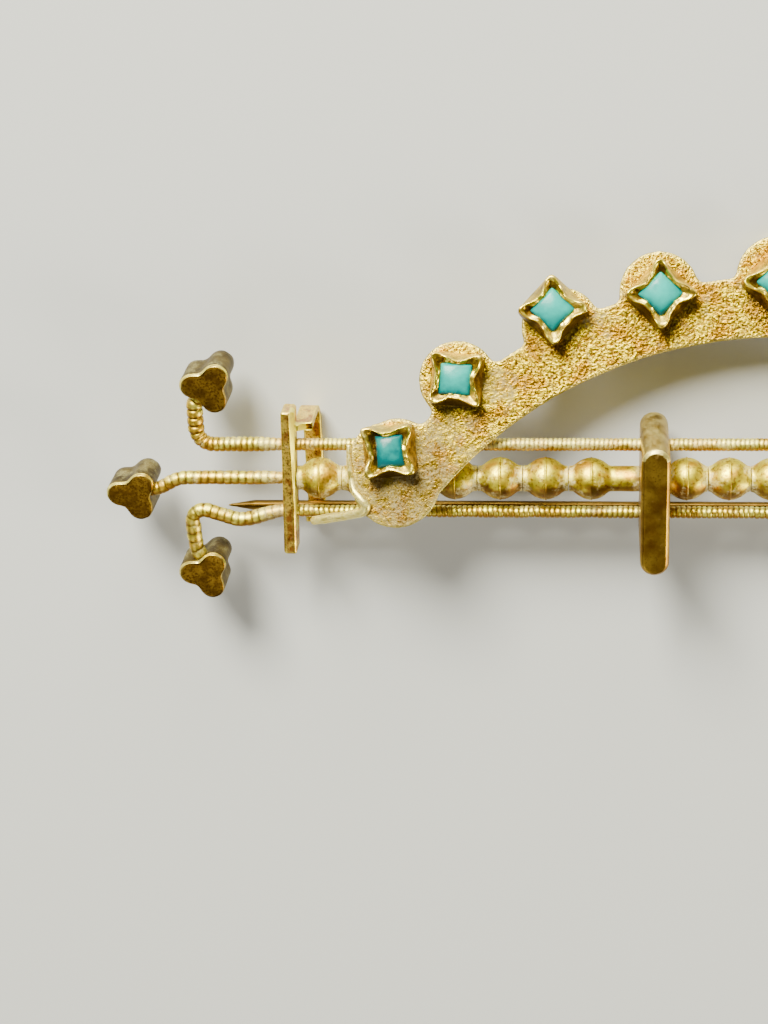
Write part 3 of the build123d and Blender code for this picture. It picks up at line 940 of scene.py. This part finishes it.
def squareRing(half, cornerPull, sidePull):
    ring = []
    count, power = colletLook["around"], colletLook["roundness"]
    for step in range(count):
        turn = 2 * pi * (step + 0.5) / count
        along, over = cos(turn), sin(turn)
        reach = half / (abs(along) ** power + abs(over) ** power) ** (1 / power)
        corner = abs(sin(2 * turn)) ** colletLook["cornerSharp"]
        side = 1 - corner
        reach *= 1 + cornerPull * corner - sidePull * side * abs(cos(2 * turn))
        ring.append((along * reach, over * reach, corner))
    return ring


def leanIn(spot, index, share=1.0):  # the outer wall of an end collet leans in over its stone
    outward = {0: -1, 8: 1}.get(index, 0)
    over = max(outward * spot.x, 0) * share
    spot.x -= outward * over * colletLook["lean"]
    return over


def makeCollet(seed):
    look = colletLook
    size = look["raggedSize"]
    points, brightened, stain = [], [], []
    for level, (half, sideHeight, cornerHeight, cornerPull, sidePull, ragged) in enumerate(colletRings):
        rough = look["ragged"] * ragged
        for x, y, corner in squareRing(half, cornerPull, sidePull):
            height = sideHeight + (cornerHeight - sideHeight) * corner
            spot = Vector((x, y, 0))
            spot += spot.normalized() * rough * wobbleAt((x, y, height * 0.4), size * 1.6, seed)
            spot.z = height
            if height > look["tornFrom"]:
                spot.z += rough * (wobbleAt((x, y, half), size, seed + 0.5) - look["tornSink"])
            over = leanIn(spot, seed, clamped((level - look["leanFrom"]) / look["leanOver"]))
            if level in lipRings:
                spot.z -= over * look["leanDrop"]
            spot.z = min(spot.z, look["highest"])
            points.append(spot)
            brightened.append(corner < look["rubbedCorner"] and over < look["leanRubbed"])
            # painted shade in the pocket's corners and under the leaning walls
            share = max(look["cornerShade"] * corner, look["leanShade"] * min(2 * over, 1))
            stain.append(share if level in hollowRings else 0)
    count = look["around"]
    faces = ringFaces(count, len(colletRings))
    finish = []
    for face in faces:
        level = min(face) // count
        finish.append(1 if level in rimRings or level in lipRings and brightened[face[0]] else 0)
    finish[-2:] = [0, 0]
    made = meshObject("collet", points, faces, ["colletGold", "burnishedGold"], finish)
    store(made.data, stain=stain)
    return made


# painted highlights: brighter outside on the upper side, and inside the lower and right-hand corners that
# face the lamps; the painted shade in the pocket is taken off where it is lit
def paintColletWallLight(mesh, middle):
    look = colletLook
    count = look["around"]
    bright, stain = [], []
    for vertex, stained in zip(mesh.vertices, mesh.attributes["stain"].data):
        cloud = 0.6 + 0.6 * wobbleAt(vertex.co, 0.4, 17)
        away = (vertex.co - middle).normalized()
        lit = clamped(look["rightLight"] * away.x - away.dot(plateUp))
        level = vertex.index // count
        outside = max(0, vertex.normal.dot(plateUp)) * cloud * look["wallLight"]
        bright.append(outside if level < 7 else lit * look["insideLight"] * (level in hollowRings))
        stain.append(stained.value * (1 - lit))
    store(mesh, bright=bright, stain=stain)


stoneLook = {
    "half": 0.775, "top": 1.23, "bottom": 0.38, "dome": 2.3, "sidePull": 0.05, "rimDrop": 0.1, "foot": 0.97,
    # The edge and up shares paint shade towards the rim and a highlight towards the upper side.
    "cells": 30, "lump": 0.02, "lumpSize": 0.5, "edgeShade": 0.6, "upLight": 0.3,
    "tones": [0.55, 0.08, 0.0, 0.05, 0.02, 0.1, 0.0, 0.06, 0.5],  # how deep the colour of each stone is
}


def makeStone(index, turn):
    look = stoneLook
    cells, half = look["cells"], look["half"]
    wide = cells + 1
    points, tones, faces = [], [], []
    for row in range(wide):
        for column in range(wide):
            u, v = 2 * column / cells - 1, 2 * row / cells - 1
            x = half * u * (1 - look["sidePull"] * (1 - v * v))
            y = half * v * (1 - look["sidePull"] * (1 - u * u))
            edge = max(abs(u), abs(v))
            drop = look["dome"] - sqrt(look["dome"] ** 2 - x * x - y * y)
            z = look["top"] - drop - look["rimDrop"] * edge ** 14
            z += look["lump"] * (wobbleAt((x, y, 0), look["lumpSize"], index + 20) - 1)
            points.append(Vector((x, y, z)))
            leanIn(points[-1], index)
            # painted highlight towards the upper side and painted shade towards the rim, on top of each
            # stone's own tone
            upward = (x * sin(turn) + y * cos(turn)) / half
            tones.append(look["tones"][index] + look["edgeShade"] * edge ** 3 - look["upLight"] * upward)
            if row < cells and column < cells:
                first = row * wide + column
                faces.append((first, first + 1, first + 1 + wide, first + wide))
    start = len(points)
    last = start - 1
    rim = [*range(cells), *range(cells, last, wide)]
    rim += [*range(last, last - cells, -1), *range(last - cells, 0, -wide)]
    points += [Vector((points[i].x * look["foot"], points[i].y * look["foot"], look["bottom"])) for i in rim]
    for step, corner in enumerate(rim):
        after = (step + 1) % len(rim)
        faces.append((rim[after], corner, start + step, start + after))
    faces.append(tuple(range(start + len(rim) - 1, start - 1, -1)))
    made = meshObject(f"stone_{index + 1}_domed", points, faces, ["turquoise"])
    store(made.data, tone=tones + [1.0] * (len(points) - len(tones)))
    return made


hookLook = {
    "radius": 0.225, "sides": 20, "steps": 8, "bright": 0.7, "pale": 1.0,
    "tip": 0.8, "dent": 0.08, "dentSize": 0.6,
    # middle of the left-hand wire, with the share of its thickness
    "line": [(-20.04, 2.11, 0.87, 0.5), (-20.03, 1.37, 1.16, 0.6), (-19.93, 0.61, 1.39, 0.7),
             (-19.79, 0.08, 1.66, 0.85), (-19.46, -0.22, 1.93, 1), (-19.21, -0.52, 2.05, 1),
             (-19.36, -0.88, 1.97, 1), (-19.9, -1.16, 1.68, 1), (-20.47, -1.4, 1.42, 1),
             (-20.96, -1.57, 1.2, 1), (-21.55, -1.78, 0.98, 1), (-22.03, -1.93, 0.82, 0.92)],
}


def makeHook(side):  # a wire that follows the foot's edge and then bends out over the lower wire
    look = hookLook
    stations = [Vector(row) for row in look["line"]]
    stations = [2 * stations[0] - stations[1]] + stations + [2 * stations[-1] - stations[-2]]
    line = []
    for before, start, end, after in zip(stations, stations[1:], stations[2:], stations[3:]):
        for step in range(look["steps"]):  # a smooth line through the stations
            t = step / look["steps"]
            line.append((2 * start + t * (end - before) + t * t * (2 * before - 5 * start + 4 * end - after)
                         + t ** 3 * (3 * start - 3 * end + after - before)) / 2)
    line.append(stations[-2])
    points = []
    for index, spot in enumerate(line):
        ahead = (line[min(index + 1, len(line) - 1)] - line[max(index - 1, 0)]).to_3d().normalized()
        sideways = ahead.cross(plateFace).normalized()
        above = sideways.cross(ahead)
        middle = spot.to_3d()
        thick = look["radius"] * spot.w * (1 + look["dent"] * wobbleAt(middle, look["dentSize"], 40))
        if index == len(line) - 1:
            thick *= look["tip"]
        for step in range(look["sides"]):
            turn = 2 * pi * step / look["sides"]
            point = middle + (sideways * cos(turn) + above * sin(turn)) * thick
            points.append(Vector((-side * point.x, point.y, point.z)))
    hook = meshObject("hook", points, ringFaces(look["sides"], len(line)), ["burnishedGold"])
    store(hook.data, bright=look["bright"], pale=look["pale"])
    return hook


plate = joinObjects("arch_plate", [makePlate()] + [makeHook(side) for side in (-1, 1)])
putInPlace(plate, ["arch"])
collets = []
for index, (x, y, turn) in enumerate(colletPlaces):
    turn = radians(turn)
    spot = archFrame @ Matrix.Translation((x, y, arch["thickness"])) @ Matrix.Rotation(turn, 4, "Z")
    collet = makeCollet(index)
    storeEdges(collet.data, colletLook["edgeReach"], 2, colletLook["edgeStart"])
    collet.data.transform(spot)
    paintColletWallLight(collet.data, spot.translation)
    collets.append(collet)
    stone = makeStone(index, turn)
    stone.data.transform(spot)
    putInPlace(stone, [f"stone_{index + 1}"])
putInPlace(joinObjects("arch_collets", collets), ["arch"])
print("arch, collets and stones made")


# Cross bands, end plates and pin stem: hand-worn copies of their solids, with painted light and shade

bandLook = {"voxel": 0.06, "dents": 0.02, "finish": "shadedBandGold", "slot": "stained_gold"}
plateLook = {"voxel": 0.055, "dents": 0.02, "finish": "mottledGold", "slot": "stained_gold"}
stemLook = {"voxel": 0.07, "dents": 0.012, "finish": "shadedStemGold", "slot": "stem_gold"}
# the end plates are rubbed down on the edge towards the beads, and that edge gets a painted highlight
plateRubAndLight = {"out": 22.9, "brightOut": 22.86, "up": 0.2, "along": 4, "front": 0.75, "bright": 0.95}


def rubAndLightPlate(mesh):
    look = plateRubAndLight
    bright = []
    for vertex in mesh.vertices:
        x, y, z = vertex.co
        spare = look["out"] - abs(x)
        if spare > 0 and abs(y) < look["along"] and z > look["up"]:
            vertex.co.z = min(z, look["front"] - spare)
        brightened = abs(x) < look["brightOut"] and abs(y) < look["along"] and vertex.co.z > 0
        bright.append(look["bright"] if brightened else 0.0)
    mesh.update()
    store(mesh, bright=bright, pale=[max(0.0, v.normal.y) for v in mesh.vertices])


# the bands' upper ends get a painted highlight and dust, and the lower parts of their bevels get painted
# shade
bandLightAndDust = {
    "bevelLow": 0.3, "bevelHigh": 0.97, "upper": 0.1, "cloudSize": 0.7,
    "bright": 0.4, "cloudBright": 0.5, "dust": 0.7, "stain": 0.3,
}


def paintBandLightAndDust(mesh):
    look = bandLightAndDust
    bright, pale, stain = [], [], []
    for vertex in mesh.vertices:
        normal, cloud = vertex.normal, wobbleAt(vertex.co, look["cloudSize"], 31)
        upward = max(0.0, normal.y)
        bevel = look["bevelLow"] < normal.z < look["bevelHigh"]
        brightened = bevel and normal.y > look["upper"]
        bright.append(1.0 if brightened else upward * (look["bright"] + look["cloudBright"] * cloud))
        pale.append(upward * (look["dust"] + cloud))
        stain.append(look["stain"] if bevel and normal.y < look["upper"] else 0.0)
    store(mesh, stain=stain, edge=0.0, bright=bright, pale=pale)


def makeWornWithPaintedLight(node, look):
    made = workObject(node + "_worn", solidCopy(node, fromFrame, 1e-4))
    remesh(made, look["voxel"])
    storeEdges(made.data, 0.03, 3)
    if look is plateLook:
        rubAndLightPlate(made.data)
    if look is bandLook:
        paintBandLightAndDust(made.data)
    dentSurface(made.data, [(look["dents"], 0.9, 5), (look["dents"] / 2, 0.3, 6)])
    setFinish(made, look["finish"])
    putInPlace(made, [node])


for side in ("left", "right"):
    makeWornWithPaintedLight("cross_band_" + side, bandLook)
for side in ("left", "right"):
    makeWornWithPaintedLight("end_plate_" + side, plateLook)
makeWornWithPaintedLight("pin_stem", stemLook)
print("bands, end plates and stem made")
